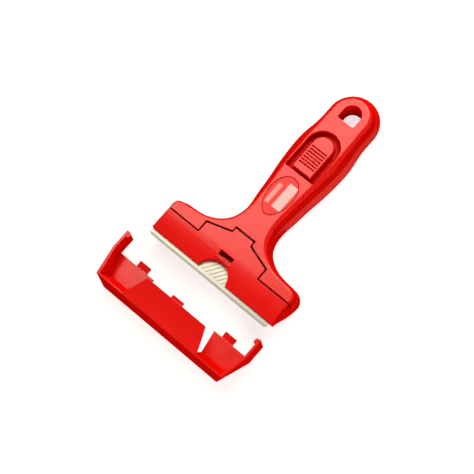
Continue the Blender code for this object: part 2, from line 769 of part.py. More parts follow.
def add_clamp_underside(part):
    """Hinge lugs and the tail pad that rests on the lock bar's nose."""
    bore = PIN_RADIUS + PIN_BORE_GAP
    ceiling = BODY_HEIGHT - CLAMP_SKIN
    for side in (-1, 1):
        low = side * LUG_CENTRE - LUG_WIDTH / 2
        high = low + LUG_WIDTH
        top = (high, PIN_Y + LUG_RADIUS, ceiling + CLAMP_SKIN / 2)
        join(part, box("lug_web", (low, PIN_Y - LUG_RADIUS, PIN_LEVEL), top), f"lug_web_{side}")
        lug = cylinder("lug", LUG_RADIUS, (low, PIN_Y, PIN_LEVEL), (high, PIN_Y, PIN_LEVEL))
        join(part, lug, f"lug_{side}")
    reach = PIN_LENGTH
    pin_room = cylinder("clamp_bore", bore, (-reach, PIN_Y, PIN_LEVEL), (reach, PIN_Y, PIN_LEVEL))
    cut(part, pin_room, "pin_bore")
    for side in (-1, 1):
        inner = LUG_CENTRE + LUG_WIDTH / 2
        outer = inner + 2 * RUNNING_GAP + BOSS_WIDTH
        low, high = sorted((side * inner, side * outer))
        room = LUG_RADIUS + RUNNING_GAP
        reach_low = (low, PIN_Y - room, 0.0)
        reach_high = (high, PIN_Y + room, PIN_LEVEL + room)
        cut(part, box("boss_room", reach_low, reach_high), f"boss_room_{side}")
    room = COIL_RADIUS + COIL_WIRE + RUNNING_GAP
    coil_low = (COIL_START - room / 2, PIN_Y - room, 0.0)
    coil_high = (COIL_START + COIL_TURNS * COIL_PITCH + room / 2, PIN_Y + room, PIN_LEVEL + room)
    cut(part, box("coil_room", coil_low, coil_high), "coil_room")
    low = (-BAR_HALF, BAR_NOSE_FLAT - TAIL_PAD_FRONT, bar_nose_top() + SEAT_GAP)
    high = (BAR_HALF, BAR_NOSE_FLAT + TAIL_PAD_REAR, BODY_HEIGHT - CLAMP_SKIN / 2)
    join(part, box("tail_pad", low, high), "tail_pad")


def lock_centre():
    """Where the lock bar and the button move together."""
    return (0.0, stem_y(), BAR_TOP)


def pin_centre():
    """Middle of the clamp plate's hinge."""
    return (0.0, PIN_Y, PIN_LEVEL)


def add_hinge_pin(material):
    """The steel pin that the clamp plate turns on."""
    ends = ((-PIN_LENGTH / 2, PIN_Y, PIN_LEVEL), (PIN_LENGTH / 2, PIN_Y, PIN_LEVEL))
    return add_part("clamp_hinge_pin", cylinder("pin", PIN_RADIUS, *ends), material, origin=pin_centre())


def add_blade(material):
    """The steel blade: a strip ground to an edge on its upper side."""
    half = BLADE_WIDTH / 2
    low = BLADE_LEVEL
    high = BLADE_LEVEL + BLADE_THICKNESS
    outline = [
        (half - BLADE_CORNER, 0.0),
        (half, BLADE_CORNER),
        (half, BLADE_DEPTH),
        (-half, BLADE_DEPTH),
        (-half, BLADE_CORNER),
        (-half + BLADE_CORNER, 0.0),
    ]
    outline = [(x + BLADE_SIDE_PLAY, y) for x, y in outline]
    blade = add_part("blade", plate("blade", outline, low, high), material)
    slope = (BLADE_THICKNESS - BLADE_EDGE_LAND) / BLADE_BEVEL
    wedge = [
        (-BEVEL_RUN_OUT, low + BLADE_EDGE_LAND - slope * BEVEL_RUN_OUT),
        (BLADE_BEVEL, high),
        (BLADE_BEVEL, high + BLADE_THICKNESS),
        (-BEVEL_RUN_OUT, high + BLADE_THICKNESS),
    ]
    cut(blade, side_plate("edge_bevel", wedge, -BLADE_WIDTH, BLADE_WIDTH), "edge_bevel")
    return blade


def add_lock_button(material, parent):
    """The thumb slide: a round-ended block with cross grooves, on a stem with a peg."""
    low = RECESS_FLOOR_LEVEL + SEAT_GAP
    high = BODY_HEIGHT + BUTTON_PROUD
    outline = recess_outline(BUTTON_HALF, BUTTON_FRONT, RECESS_CENTRE, BUTTON_EDGE)
    small = recess_outline(
        BUTTON_HALF - BUTTON_EDGE, BUTTON_FRONT + BUTTON_EDGE, RECESS_CENTRE, BUTTON_EDGE / 2
    )
    rings = [
        [(x, y, low) for x, y in outline],
        [(x, y, high - BUTTON_EDGE) for x, y in outline],
        [(x, y, high) for x, y in small],
    ]
    origin = (0.0, stem_y(), high)
    button = add_part("lock_button", loft("button", rings), material, parent, origin, lock_centre())
    for i in range(GROOVE_COUNT):
        y = GROOVE_FIRST + i * GROOVE_PITCH
        groove = box(
            "groove",
            (-GROOVE_HALF, y - GROOVE_WIDTH / 2, high - GROOVE_DEPTH),
            (GROOVE_HALF, y + GROOVE_WIDTH / 2, FAR),
        )
        cut(button, groove, f"groove_{i}")
    stem_low = BAR_TOP + SEAT_GAP
    stem = box(
        "stem",
        (-STEM_WIDTH / 2, stem_y() - STEM_LENGTH / 2, stem_low),
        (STEM_WIDTH / 2, stem_y() + STEM_LENGTH / 2, low + SEAT_GAP),
    )
    join(button, stem, "stem")
    peg_foot = (0.0, stem_y(), BAR_BOTTOM)
    peg_top = (0.0, stem_y(), low)
    join(button, cylinder("stem_peg", STEM_PEG_RADIUS, peg_foot, peg_top, PEG_SIDES), "stem_peg")
    return button


def add_lock_bar(material, parent):
    """The bar from the button to the clamp plate's tail, where its sloping nose props the tail up."""
    nose = bar_nose_top()
    shoulder = CLAMP_TAB_REAR + TAB_GAP + LOCK_TRAVEL
    side = [
        (BAR_NOSE_TIP, BAR_BOTTOM),
        (BAR_REAR, BAR_BOTTOM),
        (BAR_REAR, BAR_TOP),
        (shoulder, BAR_TOP),
        (shoulder - BAR_SHOULDER_RAMP, nose),
        (BAR_NOSE_FLAT, nose),
        (BAR_NOSE_TIP, nose - BAR_NOSE_DROP),
    ]
    mesh = side_plate("bar", side, -BAR_HALF, BAR_HALF)
    bar = add_part("lock_bar", mesh, material, parent, lock_centre(), lock_centre())
    bore = STEM_PEG_RADIUS + SEAT_GAP
    hole = cylinder("peg_hole", bore, (0.0, stem_y(), 0.0), (0.0, stem_y(), FAR), PEG_SIDES)
    cut(bar, hole, "peg_hole")
    for i in range(2):
        y = detent_y() - i * LOCK_TRAVEL
        notch = [
            (BAR_HALF - DETENT_DEPTH, y),
            (BAR_HALF + DETENT_DEPTH, y - DETENT_LENGTH / 2),
            (BAR_HALF + DETENT_DEPTH, y + DETENT_LENGTH / 2),
        ]
        cut(bar, plate("detent", notch, 0.0, FAR), f"detent_{i}")
    return bar


def detent_y():
    """Middle of the detent spring's nose."""
    return DETENT_SPRING_Y + DETENT_SPRING_LENGTH / 2


def add_detent_spring(material):
    """A leaf spring on edge, bowed to a nose that sits in the bar's notch."""
    x = detent_spring_x()
    tip = BAR_HALF + RUNNING_GAP / 2
    start = DETENT_SPRING_Y
    end = DETENT_SPRING_Y + DETENT_SPRING_LENGTH
    middle = detent_y()
    half = SPRING_THICKNESS / 2
    path = [
        (x, start),
        (x, start + DETENT_SPRING_END),
        (tip + half, middle - SPRING_THICKNESS),
        (tip + half, middle + SPRING_THICKNESS),
        (x, end - DETENT_SPRING_END),
        (x, end),
    ]
    outline = [(px - half, py) for px, py in path] + [(px + half, py) for px, py in reversed(path)]
    low = BAR_BOTTOM
    return add_part("detent_spring", plate("detent", outline, low, low + DETENT_SPRING_HEIGHT), material)


def tube(name, path, radius):
    """A round wire along a path, closed at both ends."""
    curve = bpy.data.curves.new(name, "CURVE")
    curve.dimensions = "3D"
    curve.bevel_depth = radius
    curve.bevel_resolution = 1
    curve.use_fill_caps = True
    spline = curve.splines.new("POLY")
    spline.points.add(len(path) - 1)
    for point, place in zip(spline.points, path):
        point.co = (*place, 1.0)
    drawn = bpy.data.objects.new(name, curve)
    CUTTERS.objects.link(drawn)
    depsgraph = bpy.context.evaluated_depsgraph_get()
    mesh = bpy.data.meshes.new_from_object(drawn.evaluated_get(depsgraph))
    bpy.data.objects.remove(drawn, do_unlink=True)
    bm = bmesh.new()
    bm.from_mesh(mesh)
    bmesh.ops.remove_doubles(bm, verts=bm.verts, dist=MERGE_DISTANCE)
    bpy.data.meshes.remove(mesh)
    return mesh_from(bm, name)


def add_lift_spring(material):
    """A coil on the hinge pin: one leg lifts the front of the clamp plate, the other stands on the jaw."""
    path = [(COIL_START, PIN_Y - COIL_LEG, PIN_LEVEL + COIL_RADIUS - 2 * COIL_WIRE)]
    steps = COIL_TURNS * COIL_STEPS
    for i in range(steps + 1):
        turn = i / COIL_STEPS
        angle = math.radians(90) - 2 * math.pi * turn
        path.append(
            (
                COIL_START + COIL_PITCH * turn,
                PIN_Y + COIL_RADIUS * math.cos(angle),
                PIN_LEVEL + COIL_RADIUS * math.sin(angle),
            )
        )
    end = path[-1]
    foot = PARTING_LEVEL + COIL_WIRE
    path.append((end[0], end[1] + COIL_FOOT_REACH, (end[2] + foot) / 2))
    path.append((end[0], end[1] + COIL_FOOT_REACH + COIL_FOOT_BEND, foot))
    return add_part("clamp_lift_spring", tube("lift", path, COIL_WIRE), material, origin=pin_centre())


def guard_flap_rings():
    """The rising middle flap: its left and right edges draw in towards the rear."""
    front = GUARD_FRONT + GUARD_NOSE_LEAN + GUARD_RIDGE / 4
    bend_share = (GUARD_FLAP_BEND - front) / (GUARD_FLAP_REAR - front)
    bend_half = GUARD_FLAP_FRONT_HALF + (GUARD_FLAP_REAR_HALF - GUARD_FLAP_FRONT_HALF) * bend_share
    stations = (
        (front, GUARD_FLAP_FRONT_HALF),
        (GUARD_FLAP_BEND, bend_half),
        (GUARD_FLAP_REAR, GUARD_FLAP_REAR_HALF),
    )
    rings = []
    for (y, half), low in zip(stations, GUARD_FLAP_LEVELS):
        high = low + GUARD_FLAP_THICKNESS
        rings.append([(-half, y, low), (half, y, low), (half, y, high), (-half, y, high)])
    return rings


def guard_arm_inner():
    """Half the room between the arms: the widest part of the head and a clearance."""
    return widest_half() + GUARD_ARM_GAP


def guard_nose_half(level):
    """Half width of the nose at a height: its ends lean out."""
    share = level / GUARD_HEIGHT
    return guard_arm_inner() - GUARD_NOSE_STEP - GUARD_NOSE_DRAFT * (1 - share)


def guard_wall_ring(level):
    """Nose wall, end walls and arms in one line at a height."""
    nose = guard_nose_half(level)
    front = GUARD_FRONT + GUARD_NOSE_LEAN * level / GUARD_HEIGHT
    arm = guard_arm_inner()
    outer = [
        (nose, front),
        (arm + GUARD_END_WALL, GUARD_BEND),
        (arm + GUARD_END_WALL, GUARD_ARM_LENGTH),
        (arm, GUARD_ARM_LENGTH),
        (arm, GUARD_BEND),
        (nose - GUARD_END_WALL, front + GUARD_RIDGE),
    ]
    return [(x, y, level) for x, y in outer + [(-x, y) for x, y in reversed(outer)]]


def guard_wedge(name, side, profile, inner):
    """A length of the sloping inside of the nose: a profile in Y and Z drawn out to the end wall."""
    near = [(side * inner, y, z) for y, z in profile]
    far = [(side * (guard_nose_half(z) - GUARD_END_WALL / 2), y, z) for y, z in profile]
    return loft(name, [near, far])


def add_guard_side(guard, side):
    """One side's sloping inside, cored from below, and its floor with a tab."""
    ridge = GUARD_FRONT + GUARD_NOSE_LEAN + GUARD_RIDGE / 2
    top = GUARD_HEIGHT - SEAT_GAP
    profile = [
        (GUARD_FRONT + GUARD_RIDGE / 2, 0.0),
        (GUARD_SLOPE_FOOT, 0.0),
        (GUARD_SLOPE_FOOT, GUARD_WALL),
        (ridge + GUARD_RIDGE / 2, top),
        (ridge, top),
    ]
    join(guard, guard_wedge("wedge", side, profile, GUARD_FLOOR_INNER_FRONT), f"wedge_{side}")
    rear = GUARD_FLOOR_REAR
    outer = guard_arm_inner() + GUARD_END_WALL / 2
    start = GUARD_SLOPE_FOOT - GUARD_WALL / 2
    share = (start - GUARD_FRONT) / (GUARD_BEND - GUARD_FRONT)
    foot = guard_nose_half(0.0)
    front_outer = foot + (outer - foot) * share - GUARD_END_WALL / 2
    floor = [
        (GUARD_FLOOR_INNER_FRONT, start),
        (front_outer, start),
        (outer, GUARD_BEND),
        (outer, rear),
        (GUARD_FLOOR_INNER_REAR, rear),
    ]
    floor = [(side * x, y) for x, y in floor]
    join(guard, plate("guard_floor", floor, 0.0, GUARD_WALL), f"floor_{side}")
    corner = [
        (foot - 2.5 * GUARD_END_WALL, GUARD_FRONT + GUARD_RIDGE - SEAT_GAP),
        (foot - GUARD_END_WALL + 0.6 * GUARD_END_WALL, GUARD_FRONT + GUARD_RIDGE - SEAT_GAP),
        (front_outer + 0.0, start + 2.5 * SEAT_GAP),
        (foot - 2.5 * GUARD_END_WALL, start + 2.5 * SEAT_GAP),
    ]
    corner = [(side * x, y) for x, y in corner]
    join(guard, plate("guard_corner", corner, 1.3 * SEAT_GAP, GUARD_WALL - 1.7 * SEAT_GAP), f"corner_{side}")
    tab = [
        (rear - GUARD_WALL, 0.0),
        (rear + GUARD_TAB_LENGTH, 0.0),
        (rear + GUARD_TAB_LENGTH, GUARD_WALL + GUARD_TAB_RISE),
        (rear - GUARD_WALL, GUARD_WALL / 2),
    ]
    low, high = sorted((side * (GUARD_SIDE_TAB - GUARD_TAB_HALF), side * (GUARD_SIDE_TAB + GUARD_TAB_HALF)))
    join(guard, side_plate("side_tab", tab, low, high), f"tab_{side}")
    core = [
        (GUARD_FRONT + GUARD_WALL, -GUARD_WALL),
        (GUARD_SLOPE_FOOT - GUARD_WALL, -GUARD_WALL),
        (ridge + GUARD_RIDGE, GUARD_CORE_TOP),
    ]
    near, far = GUARD_FLOOR_INNER_FRONT + GUARD_WALL, foot - 2 * GUARD_WALL
    low, high = sorted((side * near, side * far))
    cut(guard, side_plate("core", core, low, high), f"core_{side}")
    hook = plate("hook", hook_outline(side), HOOK_BOTTOM, GUARD_HEIGHT - SEAT_GAP)
    join(guard, hook, f"hook_{side}")


def add_blade_guard(material, parent):
    """The push-on guard: nose wall, end walls with hooked arms, a floor on each side and the middle flap."""
    walls = loft("guard_walls", [guard_wall_ring(0.0), guard_wall_ring(GUARD_HEIGHT)])
    guard = add_part("blade_guard", walls, material, parent)
    for side in (-1, 1):
        add_guard_side(guard, side)
    join(guard, loft("flap", guard_flap_rings()), "flap")
    _, bend, end = GUARD_FLAP_LEVELS
    slope = (end - bend) / (GUARD_FLAP_REAR - GUARD_FLAP_BEND)
    tab_rear = GUARD_FLAP_REAR + GUARD_CENTRE_TAB_LENGTH
    tab = []
    for y, above in (
        (GUARD_FLAP_REAR - GUARD_WALL, SEAT_GAP),
        (tab_rear, SEAT_GAP),
        (tab_rear, GUARD_FLAP_THICKNESS - SEAT_GAP),
        (GUARD_FLAP_REAR - GUARD_WALL, GUARD_FLAP_THICKNESS - SEAT_GAP),
    ):
        tab.append((y, end + slope * (y - GUARD_FLAP_REAR) + above))
    join(guard, side_plate("centre_tab", tab, -GUARD_CENTRE_TAB, GUARD_CENTRE_TAB), "centre_tab")
    return guard


def hook_outline(side):
    """The inward hook at the end of an arm."""
    arm = guard_arm_inner()
    end = GUARD_ARM_LENGTH - SEAT_GAP
    lead = HOOK_REACH / 3
    hook = [
        (arm + GUARD_END_WALL / 2, end),
        (arm - HOOK_REACH + lead, end),
        (arm - HOOK_REACH, end - lead),
        (arm - HOOK_REACH, end - HOOK_LENGTH + lead),
        (arm - HOOK_REACH + lead, end - HOOK_LENGTH),
        (arm + GUARD_END_WALL / 2, end - HOOK_LENGTH),
    ]
    return [(side * x, y) for x, y in hook]


def build():
    """Makes every piece."""
    red = make_material("red_shell_plastic", RED, 0.34, 0.0)
    red_button = make_material("red_button_plastic", RED, 0.38, 0.0)
    steel = make_material("ground_blade_steel", BLADE_GREY, 0.30, 1.0)
    spring = make_material("spring_steel", SPRING_GREY, 0.32, 1.0)
    nylon = make_material("natural_bar_plastic", BAR_WHITE, 0.5, 0.0)
    paper = make_material("blank_label_film", LABEL_PINK, 0.45, 0.0)
    clamp_axis = make_empty("clamp_hinge_axis", pin_centre(), TOOL)
    lock_axis = make_empty("lock_slide_axis", lock_centre(), TOOL)
    guard_place = make_empty("guard_slide_axis", (GUARD_SIDE_STEP, -GUARD_TRAVEL, 0.0), TOOL)
    add_handle_lower_shell(red)
    add_handle_upper_shell(red)
    add_label(paper)
    add_clamp_plate(red, clamp_axis)
    add_hinge_pin(spring)
    add_blade(steel)
    add_lock_button(red_button, lock_axis)
    add_lock_bar(nylon, lock_axis)
    add_detent_spring(spring)
    add_lift_spring(spring)
    add_blade_guard(red, guard_place)


build()
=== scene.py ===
"""A red wide blade scraper with its blade guard lying in front of it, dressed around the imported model.

X runs along the blade, +Y from the blade to the hang hole and +Z up. Sizes are in metres.
"""
import math

import bmesh
import bpy
from mathutils import Matrix, Vector


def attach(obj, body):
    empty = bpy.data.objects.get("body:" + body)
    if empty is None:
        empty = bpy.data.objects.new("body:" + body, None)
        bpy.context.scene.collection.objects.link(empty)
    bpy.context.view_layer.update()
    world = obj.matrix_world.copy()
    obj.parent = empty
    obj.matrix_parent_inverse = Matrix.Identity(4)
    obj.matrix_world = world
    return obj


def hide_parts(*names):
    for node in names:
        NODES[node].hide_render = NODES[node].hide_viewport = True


bl_info = {
    "name": "Blade Scraper",
    "version": (1, 0, 0),
    "blender": (4, 5, 0),
    "location": "View3D > Sidebar > Scraper",
    "description": "Dresses the packed blade scraper with its finishes and sets its stage",
    "category": "Object",
}

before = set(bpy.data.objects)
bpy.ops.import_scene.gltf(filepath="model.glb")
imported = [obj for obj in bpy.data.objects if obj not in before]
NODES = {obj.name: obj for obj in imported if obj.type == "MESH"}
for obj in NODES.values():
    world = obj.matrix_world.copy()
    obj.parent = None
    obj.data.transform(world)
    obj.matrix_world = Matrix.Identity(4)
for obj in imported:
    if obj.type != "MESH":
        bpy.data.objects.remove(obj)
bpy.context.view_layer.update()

# The tool's own drawing has the blade's edge at zero along the handle
EDGE_Y = -0.060
MILLIMETRE = 0.001
WHITE = (1.0, 1.0, 1.0, 1.0)

# How CAD meshes are cleaned and bevelled, with angles in degrees. An edge has room for a bevel when the
# edges beside it are longer than the radius by the room factor.
MERGE_DISTANCE = 1e-6
FLAT_ANGLE = 0.4
BEVEL_ANGLE = 28.0
ROOM_FACTOR = 2.5
CLOSE_POINTS = 1e-5
BEVEL_SEGMENTS = 3
SMOOTH_ANGLE = 40.0
GUARD_FOLDS = (3.0, 25.0)
NO_BEVEL = 0.0

# Moulded plastic, painted shade: how much darker hollows are painted, how far a hollow is felt, and the
# openness at which the painted shade darkens it, turns it to the painted shade red and takes away its shine
DEEP_PAINTED_SHADE = 0.9
FAINT_PAINTED_SHADE = 0.25
HOLLOW_REACH = 6 * MILLIMETRE
HOLLOW_SAMPLES = 8
SHADE_FROM = 0.10
SHADE_TO = 0.72
# Painted light: the deepest gaps are painted back towards the plain red, for light bounced between red walls
PAINTED_GLOW_FROM = 0.05
PAINTED_GLOW_TO = 0.30
PAINTED_GLOW_MOST = 0.9
SHINE_FROM = 0.50
SHINE_TO = 0.90

# Moulded plastic: the slant of a face at which its shine goes, the full shine, the flow and wear marks, the
# spread of their gloss, and the mould's texture
SLANT_FROM = 0.12
SLANT_TO = 0.45
FULL_SHINE = 0.5
PLASTIC_IOR = 1.50
FLOW_SIZE = 18 * MILLIMETRE
FLOW_SWIRL = 0.6
WEAR_SIZE = 5 * MILLIMETRE
WEAR_ROUGHNESS = 0.65
WEAR_FROM = 0.35
WEAR_TO = 0.65
GLOSSIER = 0.03
DULLER = 0.04
GRAIN_STRENGTH = 0.25
GRAIN_DEPTH = 0.02 * MILLIMETRE
GUARD_GRAIN_FACTOR = 2

# Blade: rolling lines, ground bevel, and the scored lines inside the thumb notch. The wave texture
# repeats 20 times in a unit of its phase.
ROLLED_LENGTH = 20 * MILLIMETRE
ROLLED_WIDTH = 0.25 * MILLIMETRE
ROLLED_STRENGTH = 0.15
ROLLED_DEPTH = 0.01 * MILLIMETRE
BEVEL_START = 0.0015
BEVEL_END = 0.0018
SCORE_ANGLE = 55
SCORE_PITCH = 2.7 * MILLIMETRE
WAVE_REPEATS = 20
SCORE_FROM = 0.84
SCORE_TO = 0.96
SCORE_COVER = 0.8
SCORED_HALF_WIDTH = 0.0125
SCORED_START = 0.0035
BLADE_ROUGHNESS = 0.40
BEVEL_ROUGHNESS = 0.62
BLADE_DULL = "C2BAAA"
BEVEL_PALE = "E9E8E0"
SCORE_DARK = "6A675F"

# Label: blank printed blocks with their centre and half size across and along the handle and their ink
# cover, the blur of their edges, and the ink's patches
LABEL_BLOCKS = (
    (0.0034, EDGE_Y + 0.0732, 0.0034, 0.0098, 1.0),
    (-0.0046, EDGE_Y + 0.0712, 0.0015, 0.0078, 0.55),
)
PRINT_BLUR = 0.0003
LABEL_IOR = 1.49
LABEL_ROUGHNESS = 0.42
INK_PATCH = 1.5 * MILLIMETRE
INK_FROM = 0.3
INK_TO = 0.7
INK_THIN = 0.72
INK_FULL = 0.95

# Pin, springs and lock bar
DIE_LINE_SIZE = 0.4 * MILLIMETRE
DIE_LINE_SPREAD = 0.06
ROD_GREY = "B4B4B6"
ROD_ROUGHNESS = 0.30
SPRING_GREY = "8F9196"
SPRING_ROUGHNESS = 0.34
ACETAL_WHITE = "DDD8CC"
ACETAL_IOR = 1.48
ACETAL_PATCH = 2 * MILLIMETRE
ACETAL_SMOOTH = 0.42
ACETAL_DULL = 0.56

# Stage: floor, camera, and lamps with the way that each lies in from the object
FLOOR_GREY = "BEBEBE"
FLOOR_LIFT = 0.72
FLOOR_SIZE = 3.0
SENSOR_WIDTH = 36.0
CLIP_START = 0.01
LAMP_COLOUR = (1.0, 0.94, 0.80)
LAMP_DISTANCE = 1.0
OVERHEAD_WAY = Vector((-0.36, 0.36, 0.86)).normalized()
OVERHEAD_SIZE = 0.60
SIDE_WAY = Vector((-0.15, 0.75, 0.65)).normalized()
SIDE_SIZE = 0.5
FILL_WAY = Vector((0.66, -0.58, 0.48)).normalized()
FILL_SIZE = 0.6


def hex_linear(code):
    """A linear colour from an sRGB hex code."""
    values = [int(code[i : i + 2], 16) / 255 for i in (0, 2, 4)]
    return tuple(v / 12.92 if v <= 0.04045 else ((v + 0.055) / 1.055) ** 2.4 for v in values)


class ScraperFinish(bpy.types.PropertyGroup):
    """Colours and surface sizes of the scraper."""

    red: bpy.props.FloatVectorProperty(
        name="Red", description="Colour of the moulded red plastic", size=3, subtype="COLOR",
        default=hex_linear("EE0C03"), min=0.0, max=1.0,
    )
    red_deep: bpy.props.FloatVectorProperty(
        name="Deep red", description="Slightly deeper red of the flow marks in the plastic", size=3,
        subtype="COLOR", default=hex_linear("E60A02"), min=0.0, max=1.0,
    )
    # Painted shade: this red is mixed into hollows, corners, recesses and gaps, where shade falls
    red_painted_shade: bpy.props.FloatVectorProperty(
        name="Red in hollows", description="Darker red of the shaded corners and recesses", size=3,
        subtype="COLOR", default=hex_linear("9C0503"), min=0.0, max=1.0,
    )
    steel: bpy.props.FloatVectorProperty(
        name="Blade steel", description="Colour of the blade's flat", size=3, subtype="COLOR",
        default=hex_linear("DAD8D2"), min=0.0, max=1.0,
    )
    print_block: bpy.props.FloatVectorProperty(
        name="Label block", description="Colour of the blank block on the label", size=3, subtype="COLOR",
        default=hex_linear("F7CCCA"), min=0.0, max=1.0,
    )
    roughness: bpy.props.FloatProperty(
        name="Roughness", description="Roughness of the satin red plastic", default=0.22, min=0.05,
        max=1.0,
    )
    edge_radius: bpy.props.FloatProperty(
        name="Edge radius", description="Radius of the moulded edges that have room for one",
        subtype="DISTANCE", unit="LENGTH", default=0.0003, min=0.0, max=0.002,
    )
    texture_grain: bpy.props.FloatProperty(
        name="Mould texture", description="Size of one grain of the mould's eroded texture",
        subtype="DISTANCE", unit="LENGTH", default=0.0006, min=0.0001, max=0.005,
    )


class ScraperStage(bpy.types.PropertyGroup):
    """Camera and lamps."""

    azimuth: bpy.props.FloatProperty(
        name="Azimuth", description="Camera's turn from straight ahead of the blade", subtype="ANGLE",
        unit="ROTATION", default=math.radians(57.29),
    )
    elevation: bpy.props.FloatProperty(
        name="Elevation", description="Camera's height above the floor", subtype="ANGLE", unit="ROTATION",
        default=math.radians(71.79),
    )
    roll: bpy.props.FloatProperty(
        name="Roll", description="Camera's turn about its own axis", subtype="ANGLE", unit="ROTATION",
        default=math.radians(17.0),
    )
    distance: bpy.props.FloatProperty(
        name="Distance", description="Camera's distance from its target", subtype="DISTANCE", unit="LENGTH",
        default=0.9808,
    )
    target: bpy.props.FloatVectorProperty(
        name="Target", description="Point on the floor that the camera looks at", size=3,
        subtype="TRANSLATION", unit="LENGTH", default=(-0.00813, -0.02344, 0.0),
    )
    lens: bpy.props.FloatProperty(
        name="Lens", description="Focal length in millimetres on a 36 mm sensor", default=113.54,
    )
    sheen_power: bpy.props.FloatProperty(
        name="Overhead lamp", description="Power of the softbox overhead, whose reflection gives the sheen",
        subtype="POWER", unit="POWER", default=4.4,
    )
    side_power: bpy.props.FloatProperty(
        name="Side lamp", description="Power of the lamp beyond the hang hole, a little to the left",
        subtype="POWER", unit="POWER", default=6.0,
    )
    fill_power: bpy.props.FloatProperty(
        name="Fill lamp", description="Power of the low lamp in front and on the right, on the side walls",
        subtype="POWER", unit="POWER", default=5.2,
    )
    ambient: bpy.props.FloatProperty(
        name="Ambient", description="Strength of the even light of the white room", default=0.14, min=0.0,
    )


def add_node(tree, kind, settings=None, links=None):
    """Adds a shader node, sets its values and links its inputs: the one function for every kind of node."""
    node = tree.nodes.new(kind)
    for key, value in (settings or {}).items():
        if isinstance(key, str) and hasattr(node, key):
            setattr(node, key, value)
        else:
            node.inputs[key].default_value = value
    for key, source in (links or {}).items():
        tree.links.new(source, node.inputs[key])
    return node


def new_material(name, settings):
    """A material with one Principled BSDF and the values that are the same all over it."""
    material = bpy.data.materials.new(name)
    material.use_nodes = True
    tree = material.node_tree
    shader = tree.nodes["Principled BSDF"]
    for key, value in settings.items():
        shader.inputs[key].default_value = value
    return material, tree, shader


def rgba(colour):
    return (*colour, 1.0)


def moulded_plastic(name, finish, roughness, grain, painted_shade_strength):
    """Injection-moulded ABS: saturated red with a soft satin sheen from the mould's eroded texture,
    faint flow marks in the colour, and a texture that swallows the shine of faces seen aslant. Hollows get
    painted shade from ambient occlusion: darker, in the painted shade red and without shine. The deepest
    gaps get painted light back towards the plain red."""
    material, tree, shader = new_material(name, {"IOR": PLASTIC_IOR})
    place = add_node(tree, "ShaderNodeTexCoord").outputs["Object"]
    flow = add_node(
        tree, "ShaderNodeTexNoise", {"Scale": 1 / FLOW_SIZE, "Detail": 2.0, "Distortion": FLOW_SWIRL},
        {"Vector": place},
    )
    tint = add_node(
        tree, "ShaderNodeMix",
        {"data_type": "RGBA", 6: rgba(finish.red), 7: rgba(finish.red_deep)},
        {0: flow.outputs["Fac"]},
    )
    # Painted shade: ambient occlusion darkens hollows, corners and gaps and mixes in the painted shade red
    hollow = add_node(
        tree, "ShaderNodeAmbientOcclusion", {"samples": HOLLOW_SAMPLES, "Distance": HOLLOW_REACH}
    )
    shade = add_node(
        tree, "ShaderNodeMapRange", {"From Min": SHADE_FROM, "From Max": SHADE_TO, "To Min": 1.0 - painted_shade_strength},
        {"Value": hollow.outputs["AO"]},
    )
    # Painted light: the deepest gaps turn back towards the plain red
    glow = add_node(
        tree, "ShaderNodeMapRange",
        {"From Min": PAINTED_GLOW_FROM, "From Max": PAINTED_GLOW_TO, "To Min": PAINTED_GLOW_MOST, "To Max": 0.0},
        {"Value": hollow.outputs["AO"]},
    )
    dim = add_node(
        tree, "ShaderNodeMix", {"data_type": "RGBA", 6: rgba(finish.red_painted_shade), 7: rgba(finish.red)},
        {0: glow.outputs["Result"]},
    )
    colour = add_node(
        tree, "ShaderNodeMix", {"data_type": "RGBA"},
        {0: shade.outputs["Result"], 6: dim.outputs[2], 7: tint.outputs[2]},
    )
    tree.links.new(colour.outputs[2], shader.inputs["Base Color"])
    rub = add_node(
        tree, "ShaderNodeTexNoise", {"Scale": 1 / WEAR_SIZE, "Detail": 5.0, "Roughness": WEAR_ROUGHNESS},
        {"Vector": place},
    )
    gloss = add_node(
        tree, "ShaderNodeMapRange",
        {
            "From Min": WEAR_FROM, "From Max": WEAR_TO,
            "To Min": roughness - GLOSSIER, "To Max": roughness + DULLER,
        },
        {"Value": rub.outputs["Fac"]},
    )
    tree.links.new(gloss.outputs["Result"], shader.inputs["Roughness"])
    slant = add_node(tree, "ShaderNodeLayerWeight", {"Blend": 0.5})
    trapped = add_node(
        tree, "ShaderNodeMapRange",
        {"From Min": SLANT_FROM, "From Max": SLANT_TO, "To Min": FULL_SHINE, "To Max": 0.0},
        {"Value": slant.outputs["Facing"]},
    )
    # Painted shade on the shine: ambient occlusion takes the specular level away in hollows
    opened = add_node(
        tree, "ShaderNodeMapRange", {"From Min": SHINE_FROM, "From Max": SHINE_TO},
        {"Value": hollow.outputs["AO"]},
    )
    shine = add_node(
        tree, "ShaderNodeMath", {"operation": "MULTIPLY"},
        {0: trapped.outputs["Result"], 1: opened.outputs["Result"]},
    )
    tree.links.new(shine.outputs[0], shader.inputs["Specular IOR Level"])
    texture = add_node(
        tree, "ShaderNodeTexNoise", {"Scale": 1 / grain, "Detail": 2.0}, {"Vector": place},
    )
    bump = add_node(
        tree, "ShaderNodeBump", {"Strength": GRAIN_STRENGTH, "Distance": GRAIN_DEPTH},
        {"Height": texture.outputs["Fac"]},
    )
    tree.links.new(bump.outputs["Normal"], shader.inputs["Normal"])
    return material


def dress(node, material):
    """Gives a CAD node its finish in its own material slot."""
    piece = NODES[node]
    piece.data.materials.clear()
    piece.data.materials.append(material)


def select_edges(piece, wanted):
    """Selects the edges that a test picks, and leaves the piece in edit mode."""
    bpy.ops.object.mode_set(mode="EDIT")
    bpy.ops.mesh.select_mode(type="EDGE")
    bpy.ops.mesh.select_all(action="DESELECT")
    bm = bmesh.from_edit_mesh(piece.data)
    for edge in bm.edges:
        edge.select_set(wanted(edge))
    bmesh.update_edit_mesh(piece.data)


